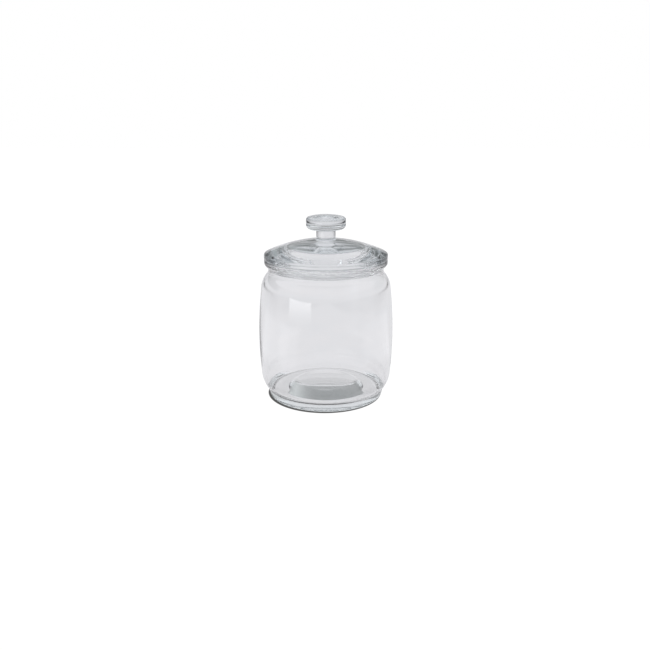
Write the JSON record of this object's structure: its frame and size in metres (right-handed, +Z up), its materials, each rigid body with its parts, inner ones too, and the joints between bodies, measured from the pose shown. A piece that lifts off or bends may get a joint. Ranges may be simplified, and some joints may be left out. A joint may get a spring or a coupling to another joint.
{
  "type": "lidded glass canister",
  "caption": "Round clear glass canister with a barrel body, moulded foot and thick raised floor, closed by a heavy domed glass lid with a knob and a soft clear sealing ring.",
  "frame": {"origin": "centre of the foot's resting face", "axes": "+Z up along the canister's axis of revolution, +X and +Y are any two radii"},
  "size_m": [0.15, 0.15, 0.2028],
  "materials": {
    "jar_glass": "clear blown glass, fire polished, faintly rippled",
    "lid_glass": "clear pressed glass, fire polished",
    "ring_plastic": "clear soft plastic, satin"
  },
  "bodies": {
    "jar": {"jar": "jar_glass"},
    "ring": {"sealing_ring": "ring_plastic"},
    "lid": {"lid": "lid_glass"}
  },
  "joints": [
    {"name": "lid_lift", "type": "slide", "parent": "jar", "child": "ring", "axis": [0, 0, 1], "range_m": [0, 0.15]},
    {"name": "lid_turn", "type": "hinge", "parent": "ring", "child": "lid", "pos_m": [0, 0, 0.1492], "axis": [0, 0, 1], "continuous": true}
  ]
}
